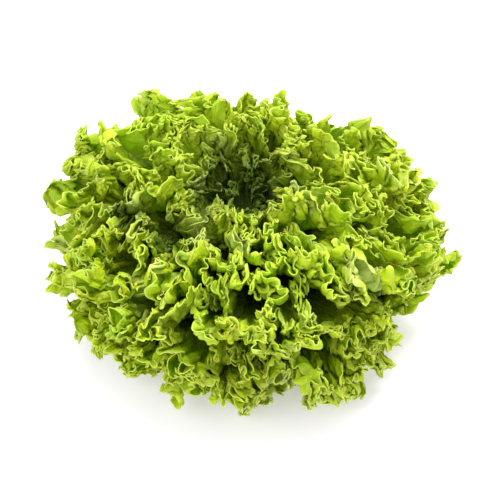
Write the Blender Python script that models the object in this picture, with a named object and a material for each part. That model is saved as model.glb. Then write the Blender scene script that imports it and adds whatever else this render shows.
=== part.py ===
# Lollo bionda lettuce: a short cut stem and the frilled leaves that grow from it, in the
# golden-angle spiral that they grow in, from the low outer leaves up to the heart.
# Metres, +Z up. The origin is the middle of the stem's cut face, which rests on the table.

import math
import random

import bmesh
import bpy
import numpy as np

# Driving dimensions
LEAF_COUNT = 54
HEAD_SEED = 23
GOLDEN_ANGLE = math.radians(137.508)
FIRST_LEAF_ANGLE = math.radians(-70)

# How far a leaf strays from its place in the spiral, and its length as a share of the plan's
ANGLE_STRAY = math.radians(2.5)
REACH_RANGE = (0.97, 1.04)

# Where the leaf tips stand and how they point, from the lowest leaf up and into the heart:
# radius, height, and degrees above level
CROWN = [
    (0.105, 0.015, -6), (0.126, 0.040, 14), (0.132, 0.068, 36), (0.122, 0.092, 56),
    (0.099, 0.110, 74), (0.070, 0.117, 90), (0.044, 0.115, 104), (0.027, 0.100, 116),
    (0.016, 0.083, 120), (0.009, 0.068, 120),
]
CROWN_STEPS = 400

# Where the head swells or sinks: azimuth in degrees, height, and how far it moves out
SWELLINGS = [
    (160, 0.066, 0.015), (127, 0.094, 0.016), (-160, 0.034, 0.010), (-130, 0.018, -0.006),
    (-78, 0.016, -0.005), (-50, 0.018, 0.013), (-27, 0.044, -0.016), (12, 0.060, 0.011),
    (30, 0.084, -0.006), (60, 0.100, -0.018), (88, 0.104, 0.006), (108, 0.100, -0.014),
]
SWELLING_WIDTH = math.radians(20)
SWELLING_HEIGHT = 0.026

# The swellings grow between these distances from the middle of the head
MIDDLE_HEIGHT = 0.03
SWELLING_START = (0.03, 0.12)
LEAST_DISTANCE = 0.02

# The outer leaves flop towards the front (-Y), and the heart leans a little the other way:
# how far, and the radii and heights that this grows between
FRONT_FLOP = 0.020
FLOP_RADII = (0.04, 0.12)
HEART_LEAN = (-0.006, 0.008)
LEAN_RADII = (0.03, 0.135)
LEAN_HEIGHTS = (0.04, 0.09)

# Slow waves through the whole head: length, height, where each starts and how strong it is along
# X, Y and Z, and the radii that they grow between
SLOW_WAVE = 0.075
SLOW_SWAY = 0.003
SWAY_STARTS = (1.0, 2.0, 4.0)
SWAY_SHARES = (1.0, 1.0, 0.6)
SWAY_RADII = (0.03, 0.10)

# The stem is a cone with a flat foot. Leaves leave its flank from LOWEST_ROOT up to HIGHEST_ROOT.
STEM_HEIGHT = 0.040
STEM_FOOT_RADIUS = 0.0165
STEM_TOP_RADIUS = 0.0035
STEM_BEVEL = 0.001
STEM_POINT = 0.002
STEM_SIDES = 20
LOWEST_ROOT = 0.006
HIGHEST_ROOT = 0.037
ROOT_GAP = 0.0006

# Half the width of a leaf, and the room between one leaf and the next over it, at the axis and
# for each metre out from it
HALF_WIDTH = (0.030, 0.25)
LAYER_GAP = (0.011, 0.120)

# A leaf's direction at its root, in degrees above level: outermost, then innermost. Its profile
# keeps to that direction, and to the tip's, for this share of its length.
ROOT_RISE = (12, 80)
ARM_SHARE = 0.38

# How far a leaf's clockwise side stands above its middle, to lie over its neighbour like a
# shingle: outermost, then innermost
LEAF_TILT = (0.0012, -0.0007)

ROOT_HALF_WIDTH = 0.0070
WIDEST_ROOT = math.radians(28)
WIDEST_LEAF = math.radians(75)
FAN_ANGLE = math.radians(70)
FAN_CENTRE = 0.62

# The frill: wave length along the margin, steepest slope of the folds and how it varies, where
# the folds begin and are full on the way out, and how much calmer they are in the heart and at a
# leaf's sides
WAVE_LENGTH = 0.0245
FEWEST_WAVES = 4
FOLD_SLOPE = 1.57
STEEPNESS = 0.93
STEEP_STRAY = 0.12
FOLD_GROWTH = (0.44, 1.02)
FOLD_HEIGHT = 0.84
FULL_FRILL_RADIUS = 0.08
HEART_FRILL = 0.12
SIDE_CALM = 0.65
CALM_SIDES = (0.4, 1)

# How unevenly the folds are spaced, as the height of one slow wave and three quick ones
SLOW_STRAY = 1.0
QUICK_STRAY = 0.4
MEANDER_STEPS = 1200

# Rows of corners: the root's columns, then share of the way out and columns for each wave. The
# normals are measured over a small step to both sides of a corner.
ROOT_COLUMNS = 4
LEAF_ROWS = [(0.32, 1), (0.58, 2), (0.80, 4), (1.0, 6)]
NORMAL_STEP = 1e-4

# A thin blade on a midrib, which fades out on the way to the margin and is slimmer in the heart
BLADE_THICKNESS = 0.0009
RIB_THICKNESS = 0.0024
RIB_HALF_WIDTH = 0.004
RIB_FADE = (0.1, 0.8)
INNER_RIB = 0.5

OUTER_GREEN = (0.27, 0.46, 0.03)
HEART_GREEN = (0.42, 0.58, 0.06)
STEM_PALE = (0.78, 0.82, 0.52)
LEAF_ROUGHNESS = 0.45
STEM_ROUGHNESS = 0.5


def mix(a, b, share):
    return a + (b - a) * share


def smooth_step(low, high, value):
    share = np.clip((value - low) / (high - low), 0, 1)
    return share * share * (3 - 2 * share)


def plain_material(name, colour, roughness):
    made = bpy.data.materials.new(name)
    made.use_nodes = True
    shader = made.node_tree.nodes["Principled BSDF"]
    shader.inputs["Base Color"].default_value = (*colour, 1)
    shader.inputs["Roughness"].default_value = roughness
    shader.inputs["Metallic"].default_value = 0
    return made


def place_object(name, mesh, material):
    mesh.materials.append(material)
    made = bpy.data.objects.new(name, mesh)
    bpy.context.scene.collection.objects.link(made)
    return made


def crown_places():
    """The share along the crown, radius, height and rise of each leaf's tip.

    Leaves crowd where they are narrow or lie close, so that every direction has its layers.
    """
    corners = np.array(CROWN)
    steps = np.linspace(0, len(corners) - 1, CROWN_STEPS)
    radius = np.interp(steps, range(len(corners)), corners[:, 0])
    height = np.interp(steps, range(len(corners)), corners[:, 1])
    rise = np.interp(steps, range(len(corners)), corners[:, 2])
    run = np.hypot(np.diff(radius, prepend=radius[0]), np.diff(height, prepend=height[0]))
    half_width = HALF_WIDTH[0] + HALF_WIDTH[1] * radius
    gap = LAYER_GAP[0] + LAYER_GAP[1] * radius
    crowd = np.cumsum(run * 2 * math.pi * radius / (2 * half_width * gap))
    wanted = (np.arange(LEAF_COUNT) + 0.5) / LEAF_COUNT * crowd[-1]
    along = np.cumsum(run) / run.sum()
    return [np.interp(wanted, crowd, values) for values in (along, radius, height, rise)]


def swell(points):
    """Moves points out or in where the head swells or sinks, and a little along slow waves."""
    x, y, z = points.T
    radius = np.hypot(x, y)
    azimuth = np.arctan2(y, x)
    growth = np.zeros(len(points))
    for degrees, height, amount in SWELLINGS:
        turn = (azimuth - math.radians(degrees) + math.pi) % (2 * math.pi) - math.pi
        growth += amount * np.exp(
            -((turn / SWELLING_WIDTH) ** 2) - ((z - height) / SWELLING_HEIGHT) ** 2
        )
    growth *= smooth_step(*SWELLING_START, np.hypot(radius, z - MIDDLE_HEIGHT))
    moved = points * (1 + growth / np.maximum(np.hypot(radius, z), LEAST_DISTANCE))[:, None]
    lean = (1 - smooth_step(*LEAN_RADII, radius)) * smooth_step(*LEAN_HEIGHTS, z)
    moved = moved + lean[:, None] * np.array((*HEART_LEAN, 0))
    moved[:, 1] -= FRONT_FLOP * smooth_step(*FLOP_RADII, radius)
    ripple = 2 * math.pi / SLOW_WAVE
    waves = np.sin(ripple * np.stack([y, z, x], axis=1) + SWAY_STARTS)
    loose = (SLOW_SWAY * smooth_step(*SWAY_RADII, radius))[:, None]
    return moved + loose * waves * SWAY_SHARES


def leaf_settings():
    """One dictionary for each leaf, outermost first."""
    draw = random.Random(HEAD_SEED)
    settings = []
    for index, (share, radius, height, tip_rise) in enumerate(zip(*crown_places())):
        root_height = mix(LOWEST_ROOT, HIGHEST_ROOT, share)
        root_radius = mix(STEM_FOOT_RADIUS, STEM_TOP_RADIUS, root_height / STEM_HEIGHT) + ROOT_GAP
        reach = math.hypot(radius - root_radius, height - root_height)
        rise = [math.radians(angle) for angle in (mix(*ROOT_RISE, share), tip_rise)]
        arm = ARM_SHARE * reach
        root = np.array((root_radius, root_height))
        tip = np.array((radius, height))
        half_turn = min(WIDEST_LEAF, (HALF_WIDTH[0] + HALF_WIDTH[1] * radius) / radius)
        fan_width = half_turn * radius / math.sin(FAN_ANGLE)
        fan_depth = (1 - FAN_CENTRE) * reach
        margin = 2 * FAN_ANGLE * math.sqrt((fan_width**2 + fan_depth**2) / 2)
        settings.append({
            "azimuth": (FIRST_LEAF_ANGLE + index * GOLDEN_ANGLE
                        + draw.uniform(-ANGLE_STRAY, ANGLE_STRAY)),
            "profile": (
                root,
                root + arm * np.array((math.cos(rise[0]), math.sin(rise[0]))),
                tip - arm * np.array((math.cos(rise[1]), math.sin(rise[1]))),
                tip,
            ),
            "half_turn": half_turn,
            "root_turn": min(WIDEST_ROOT, ROOT_HALF_WIDTH / root_radius),
            "rib": mix(1, INNER_RIB, share),
            "margin": margin,
            "waves": max(FEWEST_WAVES, round(margin / WAVE_LENGTH)),
            "slope": FOLD_SLOPE * min(1, mix(HEART_FRILL, 1, radius / FULL_FRILL_RADIUS)),
            "tilt": mix(*LEAF_TILT, share),
            "reach": draw.uniform(*REACH_RANGE),
            "phases": [draw.uniform(0, 2 * math.pi) for _ in range(3)],
            "green": mix(np.array(OUTER_GREEN), np.array(HEART_GREEN), share),
        })
    return settings


def fold_phase(leaf, along):
    """Where along the folds a place on the margin is: one turn for each wave, unevenly spaced."""
    slow, quick, _ = leaf["phases"]
    turn = 2 * math.pi * along
    stray = SLOW_STRAY * (np.sin(turn + slow) - math.sin(slow))
    stray = stray + QUICK_STRAY * (np.sin(3 * turn + quick) - math.sin(quick))
    return leaf["waves"] * turn + stray


def fold_places(leaf, columns):
    """Places along the margin, 0 to 1, that cut every fold alike."""
    along = np.linspace(0, 1, MEANDER_STEPS)
    wanted = np.linspace(0, 2 * math.pi * leaf["waves"], columns + 1)
    return np.interp(wanted, fold_phase(leaf, along), along)


def meander(leaf, out, wanted):
    """A row of the frill as a sine-generated curve: progress along the row, and sway across it."""
    along = np.linspace(0, 1, MEANDER_STEPS)
    steep = STEEPNESS + STEEP_STRAY * np.sin(4 * math.pi * along + leaf["phases"][2])
    steep = steep * (1 - SIDE_CALM * smooth_step(*CALM_SIDES, abs(2 * along - 1)))
    growth = smooth_step(*FOLD_GROWTH, out)
    heading = growth * leaf["slope"] * steep * np.sin(fold_phase(leaf, along))
    forward, aside = (
        np.concatenate([[0], np.cumsum((wave[1:] + wave[:-1]) / 2) / (len(along) - 1)])
        for wave in (np.cos(heading), np.sin(heading))
    )
    length = mix(2 * ROOT_HALF_WIDTH, leaf["margin"], out)
    sway = (aside - aside.mean() - (along - 0.5) * (aside[-1] - aside[0])) * length / forward[-1]
    return np.interp(wanted, along, forward / forward[-1]), np.interp(wanted, along, sway)


def leaf_points(leaf, out, along):
    """Places in space of one row of the leaf's inner face."""
    progress, sway = meander(leaf, out, along)
    across = 2 * progress - 1
    run = out * leaf["reach"] * mix(FAN_CENTRE, 1, np.cos(across * FAN_ANGLE))
    spread = leaf["half_turn"] * np.sin(across * FAN_ANGLE) / math.sin(FAN_ANGLE)
    azimuth = leaf["azimuth"] + mix(leaf["root_turn"] * across, spread, out)
    sway = FOLD_HEIGHT * sway - leaf["tilt"] * across * run
    a, b, c, d = (corner[:, None] for corner in leaf["profile"])
    left = 1 - run
    place = a * left**3 + 3 * b * left**2 * run + 3 * c * left * run**2 + d * run**3
    slope = (b - a) * left**2 + 2 * (c - b) * left * run + (d - c) * run**2
    slope = slope / np.linalg.norm(slope, axis=0)
    radius = place[0] - slope[1] * sway
    height = place[1] + slope[0] * sway
    return swell(np.stack([radius * np.cos(azimuth), radius * np.sin(azimuth), height], axis=1))


def blade_thickness(leaf, out, along):
    """Thin blade, with a midrib that fades towards the margin."""
    side = (2 * along - 1) * mix(ROOT_HALF_WIDTH, leaf["margin"] / 2, out)
    rib = np.exp(-((side / RIB_HALF_WIDTH) ** 2)) * (1 - smooth_step(*RIB_FADE, out))
    return mix(BLADE_THICKNESS, RIB_THICKNESS, rib * leaf["rib"])


def leaf_rows(leaf):
    """(share of the way out, columns) of each row, from the root to the margin."""
    return [(0.0, ROOT_COLUMNS)] + [(out, each * leaf["waves"]) for out, each in LEAF_ROWS]


def stitch(lower, upper):
    """Triangles between two rows of (vertex, place along), split alike left and right."""
    steps = [((here[1] + ahead[1]) / 2, 0, i) for i, (here, ahead) in enumerate(zip(lower, lower[1:]))]
    steps += [((here[1] + ahead[1]) / 2, 1, j) for j, (here, ahead) in enumerate(zip(upper, upper[1:]))]
    faces = []
    low, high = lower[0][0], upper[0][0]
    for _, side, index in sorted(steps):
        if side:
            faces.append((high, upper[index + 1][0], low))
            high = upper[index + 1][0]
        else:
            faces.append((lower[index + 1][0], low, high))
            low = lower[index + 1][0]
    return faces


def make_leaf(name, leaf, material):
    """Inner and outer face from the same rows, split alike, and closed all round the edge."""
    inner, outer, rows = [], [], []
    for out, columns in leaf_rows(leaf):
        along = fold_places(leaf, columns)
        points = leaf_points(leaf, out, along)
        left, right = (leaf_points(leaf, out, along + step) for step in (-NORMAL_STEP, NORMAL_STEP))
        below, above = (leaf_points(leaf, out + step, along) for step in (-NORMAL_STEP, NORMAL_STEP))
        normal = np.cross(above - below, right - left)
        normal /= np.linalg.norm(normal, axis=1)[:, None]
        rows.append([(len(inner) + index, place) for index, place in enumerate(along)])
        inner.extend(points)
        outer.extend(points - normal * blade_thickness(leaf, out, along)[:, None])
    faces = [face for lower, upper in zip(rows, rows[1:]) for face in stitch(lower, upper)]
    edge = [row[0][0] for row in rows] + [corner for corner, _ in rows[-1]][1:]
    edge += [row[-1][0] for row in rows[-2::-1]] + [corner for corner, _ in rows[0]][-2:0:-1]
    count = len(inner)
    closed = faces + [(c + count, b + count, a + count) for a, b, c in faces]
    for here, ahead in zip(edge, edge[1:] + edge[:1]):
        closed += [(ahead, here, here + count), (ahead, here + count, ahead + count)]
    mesh = bpy.data.meshes.new(name)
    mesh.from_pydata(inner + outer, [], closed)
    return place_object(name, mesh, material)


def make_stem(material):
    bm = bmesh.new()
    profile = [
        (0, 0), (STEM_FOOT_RADIUS - STEM_BEVEL, 0), (STEM_FOOT_RADIUS, STEM_BEVEL),
        (STEM_TOP_RADIUS, STEM_HEIGHT), (0, STEM_HEIGHT + STEM_POINT),
    ]
    corners = [bm.verts.new((radius, 0, height)) for radius, height in profile]
    edges = [bm.edges.new(pair) for pair in zip(corners, corners[1:])]
    bmesh.ops.spin(
        bm, geom=corners + edges, cent=(0, 0, 0), axis=(0, 0, 1),
        angle=2 * math.pi, steps=STEM_SIDES, use_merge=True,
    )
    bmesh.ops.remove_doubles(bm, verts=bm.verts, dist=1e-6)
    bmesh.ops.recalc_face_normals(bm, faces=bm.faces)
    mesh = bpy.data.meshes.new("stem")
    bm.to_mesh(mesh)
    bm.free()
    return place_object("stem", mesh, material)


def main():
    for old in list(bpy.data.objects):
        bpy.data.objects.remove(old)
    make_stem(plain_material("stem_flesh", STEM_PALE, STEM_ROUGHNESS))
    for number, leaf in enumerate(leaf_settings(), 1):
        green = plain_material(f"leaf_green_{number:02d}", leaf["green"], LEAF_ROUGHNESS)
        make_leaf(f"leaf_{number:02d}", leaf, green)


main()
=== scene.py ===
import math
import random

import bmesh
import bpy
import numpy as np
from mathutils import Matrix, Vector


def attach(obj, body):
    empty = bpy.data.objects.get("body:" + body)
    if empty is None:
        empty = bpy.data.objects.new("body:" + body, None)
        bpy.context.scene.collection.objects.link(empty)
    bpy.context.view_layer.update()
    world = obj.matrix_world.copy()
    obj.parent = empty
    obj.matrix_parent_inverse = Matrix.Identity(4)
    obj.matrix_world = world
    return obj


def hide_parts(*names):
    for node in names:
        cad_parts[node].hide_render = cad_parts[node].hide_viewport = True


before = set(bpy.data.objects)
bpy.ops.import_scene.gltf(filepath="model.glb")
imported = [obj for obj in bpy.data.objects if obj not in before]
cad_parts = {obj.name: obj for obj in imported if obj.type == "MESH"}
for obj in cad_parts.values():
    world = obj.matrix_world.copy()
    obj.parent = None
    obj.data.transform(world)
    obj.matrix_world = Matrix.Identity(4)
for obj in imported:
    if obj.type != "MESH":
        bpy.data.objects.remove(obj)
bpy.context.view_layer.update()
print("frame loaded:", len(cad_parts), "nodes")


class Wire:
    # a socket of a node tree; sums and products on it add Math nodes to the tree
    def __init__(self, tree, socket):
        self.tree = tree
        self.socket = socket

    @classmethod
    def add(cls, tree, kind, settings=None, inputs=None, output=0):
        node = tree.nodes.new(kind)
        for name, value in (settings or {}).items():
            setattr(node, name, value)
        for name, value in (inputs or {}).items():  # by name or number
            if isinstance(value, cls):
                tree.links.new(value.socket, node.inputs[name])
            else:
                node.inputs[name].default_value = value
        return cls(tree, node.outputs[output])

    def also(self, output):  # another output of the same node
        return Wire(self.tree, self.socket.node.outputs[output])

    def math(self, operation, *values):
        return Wire.add(self.tree, "ShaderNodeMath", {"operation": operation}, dict(enumerate(values)))

    def __add__(self, other):
        return self.math("ADD", self, other)

    def __radd__(self, other):
        return self.math("ADD", other, self)

    def __sub__(self, other):
        return self.math("SUBTRACT", self, other)

    def __rsub__(self, other):
        return self.math("SUBTRACT", other, self)

    def __mul__(self, other):
        return self.math("MULTIPLY", self, other)

    def __rmul__(self, other):
        return self.math("MULTIPLY", other, self)

    def __truediv__(self, other):
        return self.math("DIVIDE", self, other)

    def __rtruediv__(self, other):
        return self.math("DIVIDE", other, self)

    def __neg__(self):
        return self.math("MULTIPLY", self, -1.0)

    def __abs__(self):
        return self.math("ABSOLUTE", self)

    def sin(self):
        return self.math("SINE", self)

    def cos(self):
        return self.math("COSINE", self)

    def exp(self):
        return self.math("EXPONENT", self)

    def sqrt(self):
        return self.math("SQRT", self)

    def most(self, other):
        return self.math("MAXIMUM", self, other)

    def least(self, other):
        return self.math("MINIMUM", self, other)

    def wrap(self, half):
        return self.math("WRAP", self, half, -half)

    def step(self, low, high):  # 0 below low, 1 above high, smooth between
        return Wire.add(self.tree, "ShaderNodeMapRange", {"interpolation_type": "SMOOTHSTEP"},
                        {"Value": self, "From Min": low, "From Max": high})


def between(a, b, share):
    return a + (b - a) * share


# the head's plan, from the same dimensions as the CAD leaves

head = {
    "leaves": 54,
    "seed": 23,
    "goldenAngle": math.radians(137.508),
    "firstAngle": math.radians(-70),
    "angleStray": math.radians(2.5),
    # radius, height and rise of the leaves' tips, from the low outer edge over the rim into the heart
    "crown": [(0.105, 0.015, -6), (0.126, 0.040, 14), (0.132, 0.068, 36), (0.122, 0.092, 56),
              (0.099, 0.110, 74), (0.070, 0.117, 90), (0.044, 0.115, 104), (0.027, 0.100, 116),
              (0.016, 0.083, 120), (0.009, 0.068, 120)],
    "crownSteps": 400,
    "halfWidth": (0.030, 0.25),  # of a leaf, and what it gains with the radius
    "layerGap": (0.011, 0.120),
    # degrees round the head, height, and metres that the head stands out there
    "swellings": [(160, 0.066, 0.015), (127, 0.094, 0.016), (-160, 0.034, 0.010), (-130, 0.018, -0.006),
                  (-78, 0.016, -0.005), (-50, 0.018, 0.013), (-27, 0.044, -0.016), (12, 0.060, 0.011),
                  (30, 0.084, -0.006), (60, 0.100, -0.018), (88, 0.104, 0.006), (108, 0.100, -0.014)],
    "swellingWidth": math.radians(20),
    "swellingHeight": 0.026,
    "middleHeight": 0.03,  # swellings move the leaves away from the stem here
    "swellingStart": (0.03, 0.12),
    "leastDistance": 0.02,
    "softTop": 0.116,
    "overTop": 0.4,  # share that is left of what stands above the soft top
    "frontFlop": 0.020,
    "flopRadii": (0.04, 0.12),
    "heartLean": (-0.006, 0.008),
    "leanRadii": (0.03, 0.135),
    "leanHeights": (0.04, 0.09),
    "slowWave": 0.075,
    "slowSway": 0.003,
    "swayStarts": (1.0, 2.0, 4.0),
    "heightSway": 0.6,
    "swayRadii": (0.03, 0.10),
}

stemSizes = {"height": 0.040, "footRadius": 0.0165, "topRadius": 0.0035, "rootGap": 0.0006,
             "lowestRoot": 0.006, "highestRoot": 0.037}

leafShape = {
    "rootRise": (12, 80),
    "armShare": 0.38,
    "tilt": (0.0012, -0.0007),
    "rootHalfWidth": 0.0070,
    "fanAngle": math.radians(70),
    "fanCentre": 0.62,
    "fanSides": 0.72,  # the sides are fuller than the fan that the margin is measured on
    "widestLeaf": math.radians(75),
    "roll": (0.004, 0.012),
    "fullRollShare": 0.5,
    "reachRange": (0.97, 1.04),
    "heartReach": 0.93,
    "heartAge": 0.14,
    # a share of the reach, for leaves that would stand out of the head or leave a gap
    "trims": {3: 1.05, 8: 1.02, 11: 0.94, 15: 1.05, 16: 0.91, 19: 0.96, 22: 1.03, 24: 1.04, 26: 1.03,
              27: 1.07, 28: 1.06, 30: 1.07, 32: 1.02, 37: 0.90, 40: 0.90, 41: 0.96, 42: 0.95, 45: 0.88,
              48: 0.86, 50: 0.92, 51: 0.90, 53: 0.86},
    "waveLength": 0.0245,
    "fewestFolds": 4,
    "foldSlope": 1.57,
    "foldGrowth": (0.44, 1.02),
    "foldHeight": 1.0,
    "fullFrillRadius": 0.08,
    "heartFrill": 0.12,
    "widestRoot": math.radians(28),
    "lowest": 0.0012,
    "steepness": 0.93,
    "steepStray": 0.12,
    "sideCalm": 0.65,
    "calmSides": (0.4, 1),
    "slowStray": 1.0,
    "quickStray": 0.4,
}


def leafHalfWidth(radius):
    return head["halfWidth"][0] + head["halfWidth"][1] * radius


def crownPlaces():
    # share of the way along the crown, radius, height and rise of each leaf's tip; the tips crowd
    # where leaves are narrow or their layers close
    corners = np.array(head["crown"])
    steps = np.linspace(0, len(corners) - 1, head["crownSteps"])
    radius = np.interp(steps, range(len(corners)), corners[:, 0])
    height = np.interp(steps, range(len(corners)), corners[:, 1])
    run = np.hypot(np.diff(radius, prepend=radius[0]), np.diff(height, prepend=height[0]))
    halfWidth = leafHalfWidth(radius)
    gap = head["layerGap"][0] + head["layerGap"][1] * radius
    rise = np.interp(steps, range(len(corners)), corners[:, 2])
    crowd = np.cumsum(run * 2 * math.pi * radius / (2 * halfWidth * gap))
    wanted = (np.arange(head["leaves"]) + 0.5) / head["leaves"] * crowd[-1]
    along = np.cumsum(run) / run.sum()
    return [np.interp(wanted, crowd, values) for values in (along, radius, height, rise)]


def leafPlan():
    # one dictionary of modifier inputs for each leaf, outermost first
    draw = random.Random(head["seed"])
    plan = []
    for index, (share, radius, height, tipRise) in enumerate(zip(*crownPlaces())):
        rootHeight = between(stemSizes["lowestRoot"], stemSizes["highestRoot"], share)
        rootRadius = between(stemSizes["footRadius"], stemSizes["topRadius"],
                             rootHeight / stemSizes["height"]) + stemSizes["rootGap"]
        reach = math.hypot(radius - rootRadius, height - rootHeight)
        rise = [math.radians(angle) for angle in (between(*leafShape["rootRise"], share), tipRise)]
        arm = leafShape["armShare"] * reach
        halfTurn = min(leafShape["widestLeaf"], leafHalfWidth(radius) / radius)
        fanWidth = halfTurn * radius / math.sin(leafShape["fanAngle"])
        fanDepth = (1 - leafShape["fanCentre"]) * reach
        margin = 2 * leafShape["fanAngle"] * math.sqrt((fanWidth**2 + fanDepth**2) / 2)
        azimuth = (head["firstAngle"] + index * head["goldenAngle"]
                   + draw.uniform(-head["angleStray"], head["angleStray"]))
        reachShare = draw.uniform(*leafShape["reachRange"]) * leafShape["trims"].get(index + 1, 1)
        if 1 - share < leafShape["heartAge"]:
            reachShare *= leafShape["heartReach"]
        phases = [draw.uniform(0, 2 * math.pi) for _ in range(3)]
        plan.append({
            "Azimuth": azimuth % (2 * math.pi),
            "Root": (rootRadius, 0, rootHeight),
            "Root Arm": (rootRadius + arm * math.cos(rise[0]), 0, rootHeight + arm * math.sin(rise[0])),
            "Tip Arm": (radius - arm * math.cos(rise[1]), 0, height - arm * math.sin(rise[1])),
            "Tip": (radius, 0, height),
            "Length": reach,
            "Half Turn": halfTurn,
            "Root Turn": min(leafShape["widestRoot"], leafShape["rootHalfWidth"] / rootRadius),
            "Margin": margin,
            "Folds": max(leafShape["fewestFolds"], round(margin / leafShape["waveLength"])),
            "Fold Slope": leafShape["foldSlope"] * min(
                1, between(leafShape["heartFrill"], 1, radius / leafShape["fullFrillRadius"])),
            "Side Tilt": between(*leafShape["tilt"], share),
            "Reach": reachShare,
            "Slow Phase": phases[0],
            "Quick Phase": phases[1],
            "Steep Phase": phases[2],
            "Leaf Number": index,
            "Roll": between(*leafShape["roll"], min(1, share / leafShape["fullRollShare"])),
            "Age": 1 - share,
        })
    return plan


# the flat sheet that each leaf is made from: x runs along the margin, y from root to margin

sheetRows = [  # share of the way out, columns for each fold
    (0.0, 1), (0.15, 2), (0.30, 3), (0.42, 6), (0.52, 12), (0.61, 16), (0.69, 24), (0.76, 40), (0.81, 64),
    (0.86, 96), (0.90, 112), (0.94, 128), (0.972, 160), (1.0, 160),
]

blade = {"thickness": 0.0005, "ribThickness": 0.0026, "ribHalfWidth": 0.0042, "ribFade": (0.1, 0.8),
         "innerRib": 0.5}


def stitch(lower, upper):
    # triangles between two rows of (corner, place along), split alike left and right
    steps = [((here[1] + ahead[1]) / 2, 0, i) for i, (here, ahead) in enumerate(zip(lower, lower[1:]))]
    steps += [((here[1] + ahead[1]) / 2, 1, i) for i, (here, ahead) in enumerate(zip(upper, upper[1:]))]
    low, high = lower[0][0], upper[0][0]
    faces = []
    for _, side, index in sorted(steps):
        if side:
            faces.append((high, upper[index + 1][0], low))
            high = upper[index + 1][0]
        else:
            faces.append((lower[index + 1][0], low, high))
            low = lower[index + 1][0]
    return faces


def flatSheet(folds):
    corners, steps, rowNumbers, rows = [], [], [], []
    for rowNumber, (out, perFold) in enumerate(sheetRows):
        columns = perFold * folds
        rows.append([(len(corners) + i, i / columns) for i in range(columns + 1)])
        corners += [(i / columns, out, 0) for i in range(columns + 1)]
        steps += [1 / columns] * (columns + 1)
        rowNumbers += [rowNumber] * (columns + 1)
    faces = [face for lower, upper in zip(rows, rows[1:]) for face in stitch(lower, upper)]
    mesh = bpy.data.meshes.new("leafSheet")
    mesh.from_pydata(corners, [], faces)
    places = np.array(corners)
    for name, kind, values in (("along", "FLOAT", places[:, 0]), ("out", "FLOAT", places[:, 1]),
                               ("columnStep", "FLOAT", steps), ("rowNumber", "INT", rowNumbers)):
        layer = mesh.attributes.new(name, kind, "POINT")
        layer.data.foreach_set("value", np.array(values))
    return mesh


def thickenLeaf(piece, margin, age):
    # the rib is thickest by the root; a vertex group gives the share of its thickness
    group = piece.vertex_groups.new(name="ribThickness")
    thin = blade["thickness"] / blade["ribThickness"]
    ribShare = between(blade["innerRib"], 1, age)
    fadeStart, fadeEnd = blade["ribFade"]
    for corner in piece.data.vertices:
        along, out, _ = corner.co
        side = (2 * along - 1) * between(leafShape["rootHalfWidth"], margin / 2, out)
        fade = min(max((out - fadeStart) / (fadeEnd - fadeStart), 0), 1)
        rib = math.exp(-((side / blade["ribHalfWidth"]) ** 2)) * (1 - fade * fade * (3 - 2 * fade))
        group.add([corner.index], between(thin, 1, rib * ribShare), "REPLACE")
    solid = piece.modifiers.new("thickness", "SOLIDIFY")
    solid.thickness = blade["ribThickness"]
    solid.offset = -1
    solid.vertex_group = group.name


# the Geometry Nodes tree that folds, frills and bends a sheet into its place in the head

frill = {
    "Lobe Depth": 0.17,
    "Lobe Start": 0.45,
    "Roll Start": 0.50,  # starts are shares of the way out
    "Frills": 3.3,  # in each fold
    "Frill Height": 0.0050,
    "Frill Sweep": 0.0040,
    "Frill Overhang": 1.0,
    "Frill Start": 0.46,
    "Curls": 4.0,  # in each frill
    "Curl Height": 0.0019,
    "Curl Overhang": 0.8,
    "Curl Start": 0.66,
    "Tooth Depth": 0.004,
    "Crumple": 0.0060,
}

# noises along the margin: how many to the centimetre, and an offset that keeps them apart
wander = {
    "drift": (0.9, 0),
    "outwardDrift": (0.7, 20),
    "frillSize": (1.3, 50),
    "curlDrift": (3.1, 90),
    "curlSize": (2.7, 130),
    "sweep": (1.0, 0),
    "lobe": (0.22, 200),
    "smallLobe": (0.75, 240),
    "roll": (0.30, 280),
    "tooth": (9.0, 300),
}

uneven = {
    "drift": 7,
    "outwardDrift": 5,
    "driftsOnTheWayOut": 8,
    "curlDrift": 8,
    "sweep": 6,
    "frillSizes": (0.35, 1.65),  # from the smallest to the largest
    "curlSizes": (0.3, 1.7),
    "fullFrills": 0.96,
    "flattestStride": 0.3,
    "lobes": (0.35, 0.65),
    "lobeShare": 0.75,
    "smallLobes": (0.4, 0.65),
    "smallLobeShare": 0.45,
    "rolls": (0.3, 0.7),
    "teeth": (0.35, 0.65),
    "toothStart": 0.965,
    "longest": 1.03,
    "crumpleScale": 80.0,
    "crumpleStart": 0.3,
    "fullRoll": 1.05,
    "seedStep": 17.3,  # keeps the leaves' noises apart
    "flatStep": 0.1,  # and their blade patterns
}


def readNumber(tree, name, kind="FLOAT"):
    return Wire.add(tree, "GeometryNodeInputNamedAttribute", {"data_type": kind}, {"Name": name})


def noiseAlong(tree, place, detail=0.0):  # about 0 to 1, along one line
    return Wire.add(tree, "ShaderNodeTexNoise", {"noise_dimensions": "1D"},
                    {"W": place, "Scale": 1.0, "Detail": detail})


def rowSum(tree, value, row):
    return Wire.add(tree, "GeometryNodeAccumulateField", {"data_type": "FLOAT", "domain": "POINT"},
                    {"Value": value, "Group ID": row}, "Leading")


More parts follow.
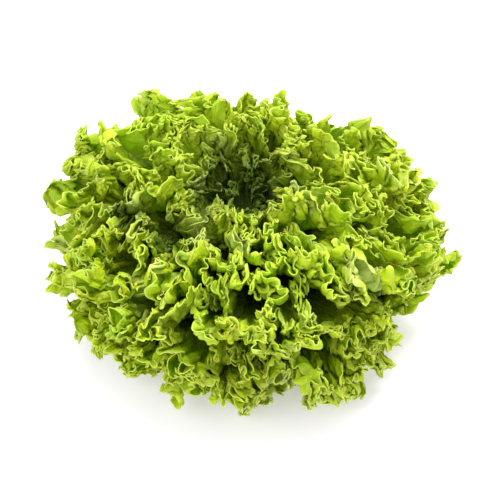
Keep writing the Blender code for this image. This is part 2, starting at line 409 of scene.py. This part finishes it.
def swell(x, y, z):
    # moves the leaves out or in where the head swells or sinks, then sways them along slow waves
    radius = (x * x + y * y).sqrt()
    azimuth = radius.math("ARCTAN2", y, x)
    growth = None
    for degrees, height, amount in head["swellings"]:
        turn = (azimuth - math.radians(degrees)).wrap(math.pi) / head["swellingWidth"]
        level = (z - height) / head["swellingHeight"]
        bump = (-(turn * turn) - level * level).exp() * amount
        growth = bump if growth is None else growth + bump
    raised = z - head["middleHeight"]
    growth = growth * (radius * radius + raised * raised).sqrt().step(*head["swellingStart"])
    scale = growth / (radius * radius + z * z).sqrt().most(head["leastDistance"]) + 1
    lean = (1 - radius.step(*head["leanRadii"])) * z.step(*head["leanHeights"])
    flop = radius.step(*head["flopRadii"]) * head["frontFlop"]
    ripple = 2 * math.pi / head["slowWave"]
    loose = radius.step(*head["swayRadii"]) * head["slowSway"]
    starts = head["swayStarts"]
    return (
        x * scale + lean * head["heartLean"][0] + loose * (y * ripple + starts[0]).sin(),
        y * scale + lean * head["heartLean"][1] - flop + loose * (z * ripple + starts[1]).sin(),
        z * scale + loose * (x * ripple + starts[2]).sin() * head["heightSway"],
    )


def frilledLeafTree():
    tree = bpy.data.node_groups.new("frilledLeaf", "GeometryNodeTree")
    sockets = tree.interface
    sockets.new_socket("Sheet", in_out="INPUT", socket_type="NodeSocketGeometry")
    for name, value in leafPlan()[0].items():
        kind = "NodeSocketVector" if isinstance(value, tuple) else "NodeSocketFloat"
        sockets.new_socket(name, in_out="INPUT", socket_type=kind)
    for name in frill:
        sockets.new_socket(name, in_out="INPUT", socket_type="NodeSocketFloat")
    sockets.new_socket("Material", in_out="INPUT", socket_type="NodeSocketMaterial")
    sockets.new_socket("Leaf", in_out="OUTPUT", socket_type="NodeSocketGeometry")
    entry = tree.nodes.new("NodeGroupInput")
    given = {socket.name: Wire(tree, socket) for socket in entry.outputs if socket.name}

    along, out = readNumber(tree, "along"), readNumber(tree, "out")
    columnStep, row = readNumber(tree, "columnStep"), readNumber(tree, "rowNumber", "INT")
    seed = given["Leaf Number"] * uneven["seedStep"]
    place = given["Margin"] * along * 100  # centimetres along the margin

    def noise(name, more=0.0, detail=0.0):
        rate, offset = wander[name]
        return noiseAlong(tree, place * rate + seed + offset + more, detail)

    # headings of the folds
    turn = along * (2 * math.pi)
    slow, quick = given["Slow Phase"], given["Quick Phase"]
    stray = ((turn + slow).sin() - slow.sin()) * leafShape["slowStray"]
    stray = stray + ((turn * 3 + quick).sin() - quick.sin()) * leafShape["quickStray"]
    phase = given["Folds"] * turn + stray
    steep = leafShape["steepness"] + leafShape["steepStray"] * (turn * 2 + given["Steep Phase"]).sin()
    steep = steep * (1 - leafShape["sideCalm"] * abs(along * 2 - 1).step(*leafShape["calmSides"]))
    fold = out.step(*leafShape["foldGrowth"]) * given["Fold Slope"] * steep * phase.sin()

    # the row's curve, from the headings of its folds
    ahead, aside = fold.cos(), fold.sin()
    inside = along.math("GREATER_THAN", along, 0.0) * columnStep
    aheadSum, asideSum = rowSum(tree, ahead * inside, row), rowSum(tree, aside * inside, row)
    forward = aheadSum + (1 - ahead) * columnStep * 0.5
    whole, drift = aheadSum.also("Total"), asideSum.also("Total")
    sideways = asideSum - aside * columnStep * 0.5 - (along - 0.5) * drift
    count = rowSum(tree, columnStep, row).also("Total")
    sideways = sideways - rowSum(tree, sideways * columnStep, row).also("Total") / count
    rowLength = between(2 * leafShape["rootHalfWidth"], given["Margin"], out)
    sway = sideways * rowLength / whole * leafShape["foldHeight"]

    # frills that stand on the folds, and curls that stand on the frills, with overhanging sides
    drifting = noise("drift") * uneven["drift"]
    drifting = drifting + noise("outwardDrift", out * uneven["driftsOnTheWayOut"]) * uneven["outwardDrift"]
    frillPhase = phase * given["Frills"] + drifting
    frillSize = between(*uneven["frillSizes"], noise("frillSize"))
    frillSize = frillSize * out.step(given["Frill Start"], uneven["fullFrills"])
    curlPhase = frillPhase * given["Curls"] + noise("curlDrift") * uneven["curlDrift"]
    curlSize = between(*uneven["curlSizes"], noise("curlSize"))
    curlSize = curlSize * out.step(given["Curl Start"], 1.0)
    arc = rowLength / whole  # length of the folded row
    frillWave = arc / (given["Frills"] * given["Folds"] * 4 * math.pi)
    rise = frillSize * given["Frill Height"] * frillPhase.sin()
    back = frillSize * given["Frill Overhang"] * (frillPhase * 2).sin() * frillWave
    upward = frillSize * given["Frill Height"] * frillPhase.cos() / (frillWave * 2)
    onward = 1 - frillSize * given["Frill Overhang"] * (frillPhase * 2).cos()
    stride = (upward * upward + onward * onward).sqrt().most(uneven["flattestStride"])
    curl = curlSize * given["Curl Height"] * curlPhase.sin() / stride
    curlBack = curlSize * given["Curl Overhang"] * (curlPhase * 2).sin() * frillWave / given["Curls"]
    rise = rise + curl * onward - curlBack * upward
    back = back + curl * upward + curlBack * onward
    sway = sway + ahead * rise - aside * back
    across = (forward / whole - (aside * rise + ahead * back) / rowLength) * 2 - 1

    # the fan, with its lobes and the fine teeth of its margin
    lobe = noise("lobe").step(*uneven["lobes"]) * uneven["lobeShare"]
    lobe = lobe + noise("smallLobe").step(*uneven["smallLobes"]) * uneven["smallLobeShare"]
    roll = noise("roll").step(*uneven["rolls"]) * 2 - 1
    sway = sway + roll * given["Roll"] * out.step(given["Roll Start"], uneven["fullRoll"])
    sweep = (frillPhase * 0.5 + noise("sweep") * uneven["sweep"]).sin()
    sweep = sweep * frillSize * given["Frill Sweep"]
    lobe = lobe * given["Lobe Depth"] * out.step(given["Lobe Start"], 1.0)
    tooth = noise("tooth", detail=1.0).step(*uneven["teeth"])
    tooth = tooth * given["Tooth Depth"] * out.step(uneven["toothStart"], 1.0)
    fan = between(leafShape["fanSides"], 1, (across * leafShape["fanAngle"]).cos())
    run = out * given["Reach"] * fan * (uneven["longest"] - lobe - tooth + sweep / given["Length"])
    spread = given["Half Turn"] * (across * leafShape["fanAngle"]).sin() / math.sin(leafShape["fanAngle"])
    azimuth = given["Azimuth"] + between(given["Root Turn"] * across, spread, out)
    sway = sway - given["Side Tilt"] * across * run

    # along the leaf's profile, from the root out to the tip
    left = 1 - run
    ends = [Wire.add(tree, "ShaderNodeSeparateXYZ", {}, {0: given[name]})
            for name in ("Root", "Root Arm", "Tip Arm", "Tip")]
    spot, slope = [], []
    for axis in ("X", "Z"):
        a, b, c, d = (end.also(axis) for end in ends)
        spot.append(a * left * left * left + b * left * left * run * 3
                    + c * left * run * run * 3 + d * run * run * run)
        slope.append((b - a) * left * left + (c - b) * left * run * 2 + (d - c) * run * run)
    steepness = (slope[0] * slope[0] + slope[1] * slope[1]).sqrt()
    radius = spot[0] - slope[1] / steepness * sway
    height = spot[1] + slope[0] / steepness * sway
    x, y, z = swell(radius * azimuth.cos(), radius * azimuth.sin(), height)
    z = z.least(between(head["softTop"], z, head["overTop"]))
    position = Wire.add(tree, "ShaderNodeCombineXYZ", {}, {"X": x, "Y": y, "Z": z})
    leaf = Wire.add(tree, "GeometryNodeSetPosition", {}, {"Geometry": given["Sheet"], "Position": position})

    # a little crumpling, which grows towards the margin
    here = Wire.add(tree, "GeometryNodeInputPosition")
    crumpled = Wire.add(tree, "ShaderNodeTexNoise", {"noise_dimensions": "3D"},
                        {"Vector": here, "Scale": uneven["crumpleScale"], "Detail": 1.0}, "Color")
    centred = Wire.add(tree, "ShaderNodeVectorMath", {"operation": "SUBTRACT"},
                       {0: crumpled, 1: (0.5, 0.5, 0.5)})
    offset = Wire.add(tree, "ShaderNodeVectorMath", {"operation": "SCALE"},
                      {0: centred, "Scale": given["Crumple"] * out.step(uneven["crumpleStart"], 1.0) * 2})
    leaf = Wire.add(tree, "GeometryNodeSetPosition", {}, {"Geometry": leaf, "Offset": offset})
    # nothing sinks into the surface that the head lies on
    settled = Wire.add(tree, "ShaderNodeVectorMath", {"operation": "MAXIMUM"},
                       {0: Wire.add(tree, "GeometryNodeInputPosition"), 1: (-1, -1, leafShape["lowest"])})
    leaf = Wire.add(tree, "GeometryNodeSetPosition", {}, {"Geometry": leaf, "Position": settled})

    # what the material reads
    flat = Wire.add(tree, "ShaderNodeCombineXYZ", {},
                    {"X": (along - 0.5) * arc, "Y": out * given["Length"],
                     "Z": given["Leaf Number"] * uneven["flatStep"]})
    for name, kind, value in (("flat", "FLOAT_VECTOR", flat), ("arc", "FLOAT", arc),
                              ("age", "FLOAT", given["Age"])):
        leaf = Wire.add(tree, "GeometryNodeStoreNamedAttribute", {"data_type": kind, "domain": "POINT"},
                        {"Geometry": leaf, "Name": name, "Value": value})
    leaf = Wire.add(tree, "GeometryNodeSetShadeSmooth", {}, {"Geometry": leaf})
    leaf = Wire.add(tree, "GeometryNodeRealizeInstances", {}, {"Geometry": leaf})
    Wire.add(tree, "GeometryNodeSetMaterial", {}, {"Geometry": leaf, "Material": given["Material"]})
    last = tree.nodes[-1]
    leave = tree.nodes.new("NodeGroupOutput")
    tree.links.new(last.outputs[0], leave.inputs["Leaf"])
    return tree


def setInputs(modifier, values):
    names = {item.name: item.identifier for item in modifier.node_group.interface.items_tree
             if item.in_out == "INPUT"}
    for name, value in values.items():
        modifier[names[name]] = value


def finished(piece):
    # the evaluated object as a plain mesh, with no modifier left on it
    bpy.context.view_layer.update()
    evaluated = piece.evaluated_get(bpy.context.evaluated_depsgraph_get())
    mesh = bpy.data.meshes.new_from_object(evaluated)
    piece.modifiers.clear()
    piece.data = mesh
    mesh.name = piece.name
    return piece


def makeLeaf(number, plan, tree, material):
    piece = bpy.data.objects.new(f"frilledLeaf_{number:02d}", flatSheet(plan["Folds"]))
    bpy.context.scene.collection.objects.link(piece)
    nodes = piece.modifiers.new("frilledLeaf", "NODES")
    nodes.node_group = tree
    setInputs(nodes, {**plan, **frill, "Folds": float(plan["Folds"]), "Leaf Number": float(number)})
    setInputs(nodes, {"Material": material})
    thickenLeaf(piece, plan["Margin"], plan["Age"])
    finished(piece)
    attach(piece, "root")
    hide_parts(f"leaf_{number:02d}")
    return piece


# the leaves' material: a green blade with veins, a pale rib, a pale margin that is partly painted
# highlight, and painted light and shade

leafFinish = {  # sizes in metres, starts and ends as shares of the way out
    # painted shade: the dark green that stands in for the shade by the root, in the heart and in the
    # hollows
    "paintedShadeGreen": (0.060, 0.115, 0.003, 1),
    "blade": (0.365, 0.54, 0.005, 1),
    "bladeFade": (0.30, 0.80),
    "bladeShares": (0.55, 1.35),
    "young": (0.54, 0.67, 0.012, 1),
    "youngFade": (0.70, 1.0),
    "youngMottle": (0.3, 0.75),
    # painted shade in the heart: the youngest leaves are darkened towards the painted shade green
    "shadedHeartAges": (0.05, 0.35),
    "heartShadeShare": 0.5,
    # the margin colour is partly the leaf's own paler edge and partly a painted highlight along it
    "margin": (0.76, 0.84, 0.18, 1),
    "marginWidths": (0.0002, 0.0008),
    "leastOut": 0.01,
    "paleEdgeAndHighlightShare": 0.42,
    "vein": (0.60, 0.72, 0.05, 1),
    "veinCount": 14,
    "veinForks": ((1, 0.1), (2, 0.35), (4, 0.6), (8, 0.8)),  # times as many veins, and where they start
    "forkLength": 0.1,
    "veinWidths": (0.0002, 0.0010),
    "veinTaper": 0.4,
    "veinStray": 0.3,
    "veinShare": 0.16,
    "cellSize": 0.0024,
    "cellEdges": (0.02, 0.16),
    "cellShare": 0.08,
    "rib": (0.42, 0.54, 0.14, 1),
    "ribWidths": (0.006, 0.0010),
    "ribSoftness": (0.45, 1.0),
    "ribFade": (0.45, 0.85),
    "paleFoot": (0.05, 0.30),
    "ribShare": 0.9,
    "mottle": (60.0, 3.0),  # scale and detail of each noise
    "blisters": (240.0, 2.0),
    "patches": (22.0, 2.0),
    "pale": (0.80, 0.87, 0.42, 1),
    "palePatches": (0.56, 0.70),
    "paleFade": (0.75, 0.95),
    "paleShare": 0.34,
    "dark": (0.15, 0.32, 0.006, 1),
    "darkPatches": (0.30, 0.42),
    "darkShare": 0.35,
    # patches by place, each x, y and radius: painted light at the back left and the near rim, and
    # painted shade in the hollows of the heart and of the trench beside it, where little light gets in
    "spotCore": 0.35,
    # painted light: a paler green laid on the higher, outer parts of the spots at the back left and the
    # near rim
    "paintedLight": (0.64, 0.88, 0.05, 1),
    "paintedLightSpots": [(-0.073, 0.060, 0.075), (0.020, -0.085, 0.050)],
    "paintedLightHeights": (0.05, 0.08),
    "paintedLightFade": (0.4, 0.8),
    "paintedLightShare": 0.5,
    # painted shade: the deep parts of these spots are darkened to the painted shade green
    "paintedShadeSpots": [(-0.006, 0.008, 0.050), (-0.058, -0.034, 0.026), (-0.080, -0.022, 0.022)],
    "paintedShadeHeights": (0.088, 0.120),
    "paintedShadeShare": 0.9,
    "roughness": (0.34, 0.52),
    "relief": (-0.25, -0.3, 0.8, 2.5),  # of the veins, the cells, the mottle and the blisters
    "bumpStrength": 0.8,
    "bumpHeight": 0.0008,
    "sheen": 0.30,
    "subsurface": 0.25,
    "subsurfaceRadius": (0.6, 1.0, 0.1),
    "subsurfaceScale": 0.0020,
}


def readAttribute(tree, name, output="Fac"):
    return Wire.add(tree, "ShaderNodeAttribute", {"attribute_name": name}, {}, output)


def noiseAt(tree, place, scale, detail):
    return Wire.add(tree, "ShaderNodeTexNoise", {}, {"Vector": place, "Scale": scale, "Detail": detail})


def mixColours(tree, share, a, b):
    node = Wire.add(tree, "ShaderNodeMix", {"data_type": "RGBA"}, {0: share}).socket.node
    for socket, colour in ((node.inputs[6], a), (node.inputs[7], b)):
        if isinstance(colour, Wire):
            tree.links.new(colour.socket, socket)
        else:
            socket.default_value = colour
    return Wire(tree, node.outputs[2])


def newMaterial(name):
    material = bpy.data.materials.new(name)
    material.use_nodes = True
    return material, material.node_tree, material.node_tree.nodes["Principled BSDF"]


def leafVeins(tree, along, out, arc, mottle):
    # veins fan out from the root and fork on the way
    veins = None
    for times, start in leafFinish["veinForks"]:
        count = leafFinish["veinCount"] * times
        distance = abs((along * count + mottle * leafFinish["veinStray"]).wrap(0.5)) * arc / count
        narrow, wide = leafFinish["veinWidths"]
        vein = 1 - distance.step(narrow, wide / times ** leafFinish["veinTaper"])
        vein = vein * out.step(start, start + leafFinish["forkLength"])
        veins = vein if veins is None else veins.most(vein)
    return veins


def leafRib(side, out):
    # the rib and the leaf's foot are pale
    rib = 1 - (side / between(*leafFinish["ribWidths"], out)).step(*leafFinish["ribSoftness"])
    rib = rib * (1 - out.step(*leafFinish["ribFade"]))
    return rib.most(1 - out.step(*leafFinish["paleFoot"]))


def withinSpots(at, spots):
    # 1 inside any of the spots, falling to 0 at their edges
    inside = None
    for x, y, size in spots:
        far = ((at - x) * (at - x) + (at.also("Y") - y) * (at.also("Y") - y)).sqrt()
        near = 1 - far.step(size * leafFinish["spotCore"], size)
        inside = near if inside is None else inside.most(near)
    return inside


def leafMaterial():
    material, tree, shader = newMaterial("lettuceBlade")
    out, along = readAttribute(tree, "out"), readAttribute(tree, "along")
    arc, age = readAttribute(tree, "arc"), readAttribute(tree, "age")
    flat = readAttribute(tree, "flat", "Vector")
    place = Wire.add(tree, "ShaderNodeTexCoord", {}, {}, "Object")
    parts = Wire.add(tree, "ShaderNodeSeparateXYZ", {}, {0: flat})
    edge = parts.also("Y") / out.most(leafFinish["leastOut"]) * (1 - out)  # metres in from the margin

    mottle = noiseAt(tree, flat, *leafFinish["mottle"])
    blisters = noiseAt(tree, flat, *leafFinish["blisters"])
    patches = noiseAt(tree, place, *leafFinish["patches"])
    cells = Wire.add(tree, "ShaderNodeTexVoronoi", {"feature": "DISTANCE_TO_EDGE"},
                     {"Vector": flat, "Scale": 1 / leafFinish["cellSize"]}, "Distance")
    net = 1 - cells.step(*leafFinish["cellEdges"])
    veins = leafVeins(tree, along, out, arc, mottle)

    # from the painted shade by the root, where leaves shade each other, to the young green of the margin
    share = out.step(*leafFinish["bladeFade"]) * between(*leafFinish["bladeShares"], mottle)
    colour = mixColours(tree, share, leafFinish["paintedShadeGreen"], leafFinish["blade"])
    share = out.step(*leafFinish["youngFade"]) * mottle.step(*leafFinish["youngMottle"])
    colour = mixColours(tree, share, colour, leafFinish["young"])
    # painted shade in the heart, on the youngest leaves
    share = (1 - age.step(*leafFinish["shadedHeartAges"])) * leafFinish["heartShadeShare"]
    colour = mixColours(tree, share, colour, leafFinish["paintedShadeGreen"])
    share = veins * leafFinish["veinShare"] + net * leafFinish["cellShare"]
    colour = mixColours(tree, share, colour, leafFinish["vein"])
    # the pale margin: partly the leaf's own paler edge, partly a painted highlight
    share = (1 - edge.step(*leafFinish["marginWidths"])) * leafFinish["paleEdgeAndHighlightShare"]
    colour = mixColours(tree, share, colour, leafFinish["margin"])
    share = leafRib(abs(parts.also("X")), out) * leafFinish["ribShare"]
    colour = mixColours(tree, share, colour, leafFinish["rib"])

    # paler and darker patches across the head, then painted light on the spots at the back left and the
    # near rim, and painted shade in the hollows
    share = patches.step(*leafFinish["palePatches"]) * out.step(*leafFinish["paleFade"])
    colour = mixColours(tree, share * leafFinish["paleShare"], colour, leafFinish["pale"])
    share = (1 - patches.step(*leafFinish["darkPatches"])) * leafFinish["darkShare"]
    colour = mixColours(tree, share, colour, leafFinish["dark"])
    at = Wire.add(tree, "ShaderNodeSeparateXYZ", {}, {0: place})
    # painted light on the spots at the back left and the near rim, on their higher parts
    share = withinSpots(at, leafFinish["paintedLightSpots"]) * at.also("Z").step(*leafFinish["paintedLightHeights"])
    share = share * out.step(*leafFinish["paintedLightFade"]) * leafFinish["paintedLightShare"]
    colour = mixColours(tree, share, colour, leafFinish["paintedLight"])
    # painted shade in the hollows of the heart and the trench, on their deeper parts
    share = withinSpots(at, leafFinish["paintedShadeSpots"]) * (1 - at.also("Z").step(*leafFinish["paintedShadeHeights"]))
    share = share * leafFinish["paintedShadeShare"]
    colour = mixColours(tree, share, colour, leafFinish["paintedShadeGreen"])
    tree.links.new(colour.socket, shader.inputs["Base Color"])

    rough = between(*leafFinish["roughness"], mottle)
    tree.links.new(rough.socket, shader.inputs["Roughness"])
    weights = leafFinish["relief"]
    relief = veins * weights[0] + net * weights[1] + mottle * weights[2] + blisters * weights[3]
    bump = Wire.add(tree, "ShaderNodeBump", {}, {"Strength": leafFinish["bumpStrength"],
                                                 "Distance": leafFinish["bumpHeight"], "Height": relief})
    tree.links.new(bump.socket, shader.inputs["Normal"])
    shader.inputs["Specular IOR Level"].default_value = leafFinish["sheen"]
    shader.inputs["Subsurface Weight"].default_value = leafFinish["subsurface"]
    shader.inputs["Subsurface Radius"].default_value = leafFinish["subsurfaceRadius"]
    shader.inputs["Subsurface Scale"].default_value = leafFinish["subsurfaceScale"]
    return material


# the stem, with the ridges that the lowest leaves leave on it and its cut foot

stemFinish = {
    "flesh": (0.72, 0.78, 0.45, 1),
    "cut": (0.80, 0.76, 0.55, 1),
    "cutHeights": (0.0002, 0.0016),
    "bruise": (0.36, 0.20, 0.07, 1),
    "bruisePatches": (0.55, 0.75),
    "bruiseShares": (0.5, 0.45),  # of the ring and of the patches
    "ringRadius": 0.0125,
    "ringStray": 0.004,
    "ringWidths": (0.0006, 0.0022),
    "grain": (500.0, 4.0),
    "patches": (130.0, 3.0),
    "roughness": (0.38, 0.62),
    "bumpStrength": 0.5,
    "bumpHeight": 0.0004,
    "subsurface": 0.2,
    "subsurfaceRadius": (0.8, 1.0, 0.4),
    "subsurfaceScale": 0.002,
    "sides": 96,
    "levels": 40,
    "footBevel": 0.001,
    "ridges": ((0.0005, 5, 9), (0.0003, 13, -21)),  # height, number round the stem, twist
    "ridgeStart": 8,
    "inset": 0.0005,
}


def stemMaterial():
    material, tree, shader = newMaterial("stemFlesh")
    place = Wire.add(tree, "ShaderNodeTexCoord", {}, {}, "Object")
    parts = Wire.add(tree, "ShaderNodeSeparateXYZ", {}, {0: place})
    x, y, z = (parts.also(axis) for axis in "XYZ")
    radius = (x * x + y * y).sqrt()
    grain = noiseAt(tree, place, *stemFinish["grain"])
    patches = noiseAt(tree, place, *stemFinish["patches"])
    foot = 1 - z.step(*stemFinish["cutHeights"])
    ring = abs(radius - stemFinish["ringRadius"] + (patches - 0.5) * stemFinish["ringStray"])
    ring = 1 - ring.step(*stemFinish["ringWidths"])
    colour = mixColours(tree, foot, stemFinish["flesh"], stemFinish["cut"])
    ringShare, patchShare = stemFinish["bruiseShares"]
    bruise = foot * (ring * ringShare + patches.step(*stemFinish["bruisePatches"]) * patchShare)
    colour = mixColours(tree, bruise, colour, stemFinish["bruise"])
    tree.links.new(colour.socket, shader.inputs["Base Color"])
    rough = between(*stemFinish["roughness"], grain)
    tree.links.new(rough.socket, shader.inputs["Roughness"])
    bump = Wire.add(tree, "ShaderNodeBump", {}, {"Strength": stemFinish["bumpStrength"],
                                                 "Distance": stemFinish["bumpHeight"],
                                                 "Height": grain + ring})
    tree.links.new(bump.socket, shader.inputs["Normal"])
    shader.inputs["Subsurface Weight"].default_value = stemFinish["subsurface"]
    shader.inputs["Subsurface Radius"].default_value = stemFinish["subsurfaceRadius"]
    shader.inputs["Subsurface Scale"].default_value = stemFinish["subsurfaceScale"]
    return material


def stemRing(bm, share):
    # one ring of corners; the ridges grow from the foot up and stay inside the stem's cone
    sides = stemFinish["sides"]
    radius = between(stemSizes["footRadius"], stemSizes["topRadius"], share)
    if share == 0:
        radius -= stemFinish["footBevel"]
    ring = []
    for side in range(sides):
        angle = 2 * math.pi * side / sides
        ridge = sum(height * math.sin(count * angle + twist * share)
                    for height, count, twist in stemFinish["ridges"])
        reach = radius + (ridge - stemFinish["inset"]) * min(1, share * stemFinish["ridgeStart"])
        ring.append(bm.verts.new((reach * math.cos(angle), reach * math.sin(angle),
                                  stemSizes["height"] * share)))
    return ring


def makeStem(material):
    sides, levels = stemFinish["sides"], stemFinish["levels"]
    bm = bmesh.new()
    rings = [stemRing(bm, level / levels) for level in range(levels + 1)]
    for lower, upper in zip(rings, rings[1:]):
        for i in range(sides):
            after = (i + 1) % sides
            bm.faces.new((lower[i], lower[after], upper[after], upper[i]))
    bm.faces.new(rings[-1])
    bm.faces.new(rings[0][::-1])
    bmesh.ops.recalc_face_normals(bm, faces=bm.faces)
    mesh = bpy.data.meshes.new("cutStem")
    bm.to_mesh(mesh)
    bm.free()
    mesh.materials.append(material)
    mesh.shade_smooth()
    piece = bpy.data.objects.new("cutStem", mesh)
    bpy.context.scene.collection.objects.link(piece)
    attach(piece, "root")
    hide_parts("stem")
    return piece


# the studio: pale floor, soft light and the camera

studio = {
    "floorSize": 6.0,
    "floorColour": (0.93, 0.89, 1.00, 1),
    "floorRoughness": 0.6,
    "floorGlow": 0.34,
    "worldStrength": 0.87,
    "lightAim": (0, 0, 0.05),
    "lights": [("keyLight", (0.38, 0.50, 1.25), 0.8, 20), ("fillLight", (-1.1, -0.9, 0.9), 1.2, 9)],
    "distance": 1.6,
    "elevation": math.radians(45),
    "aimUp": 0.0405,
    "lens": 168,
    "sensorWidth": 36,
}


def makeFloor():
    half = studio["floorSize"] / 2
    mesh = bpy.data.meshes.new("floor")
    corners = [(-half, -half, 0), (half, -half, 0), (half, half, 0), (-half, half, 0)]
    mesh.from_pydata(corners, [], [(0, 1, 2, 3)])
    material, _, shader = newMaterial("paleFloor")
    shader.inputs["Base Color"].default_value = studio["floorColour"]
    shader.inputs["Roughness"].default_value = studio["floorRoughness"]
    shader.inputs["Emission Color"].default_value = studio["floorColour"]
    shader.inputs["Emission Strength"].default_value = studio["floorGlow"]
    mesh.materials.append(material)
    floor = bpy.data.objects.new("floor", mesh)
    bpy.context.scene.collection.objects.link(floor)


def addAreaLight(name, place, size, power):
    data = bpy.data.lights.new(name, "AREA")
    data.shape = "DISK"
    data.size = size
    data.energy = power
    light = bpy.data.objects.new(name, data)
    bpy.context.scene.collection.objects.link(light)
    light.location = place
    towards = Vector(studio["lightAim"]) - Vector(place)
    light.rotation_euler = towards.to_track_quat("-Z", "Y").to_euler()


def addCamera():
    tilt = studio["elevation"]
    up = Vector((0, math.sin(tilt), math.cos(tilt)))
    back = Vector((0, -math.cos(tilt), math.sin(tilt)))
    data = bpy.data.cameras.new("camera")
    data.lens = studio["lens"]
    data.sensor_width = studio["sensorWidth"]
    camera = bpy.data.objects.new("camera", data)
    bpy.context.scene.collection.objects.link(camera)
    aim = up * studio["aimUp"] - Vector((0, head["frontFlop"], 0))
    camera.location = aim + back * studio["distance"]
    camera.rotation_euler = (-back).to_track_quat("-Z", "Y").to_euler()
    bpy.context.scene.camera = camera


def makeStudio():
    makeFloor()
    bpy.context.scene.view_settings.view_transform = "Standard"
    world = bpy.data.worlds.new("studio")
    bpy.context.scene.world = world
    world.use_nodes = True
    background = world.node_tree.nodes["Background"]
    background.inputs["Color"].default_value = (1, 1, 1, 1)
    background.inputs["Strength"].default_value = studio["worldStrength"]
    for light in studio["lights"]:
        addAreaLight(*light)
    addCamera()


makeStudio()
print("studio ready")
makeStem(stemMaterial())
print("stem ready")
leafTree = frilledLeafTree()
leafGreen = leafMaterial()
triangles = 0
for number, plan in enumerate(leafPlan(), 1):
    leaf = makeLeaf(number, plan, leafTree, leafGreen)
    triangles += sum(len(face.vertices) - 2 for face in leaf.data.polygons)
print("leaves ready:", head["leaves"], "with", triangles, "triangles")
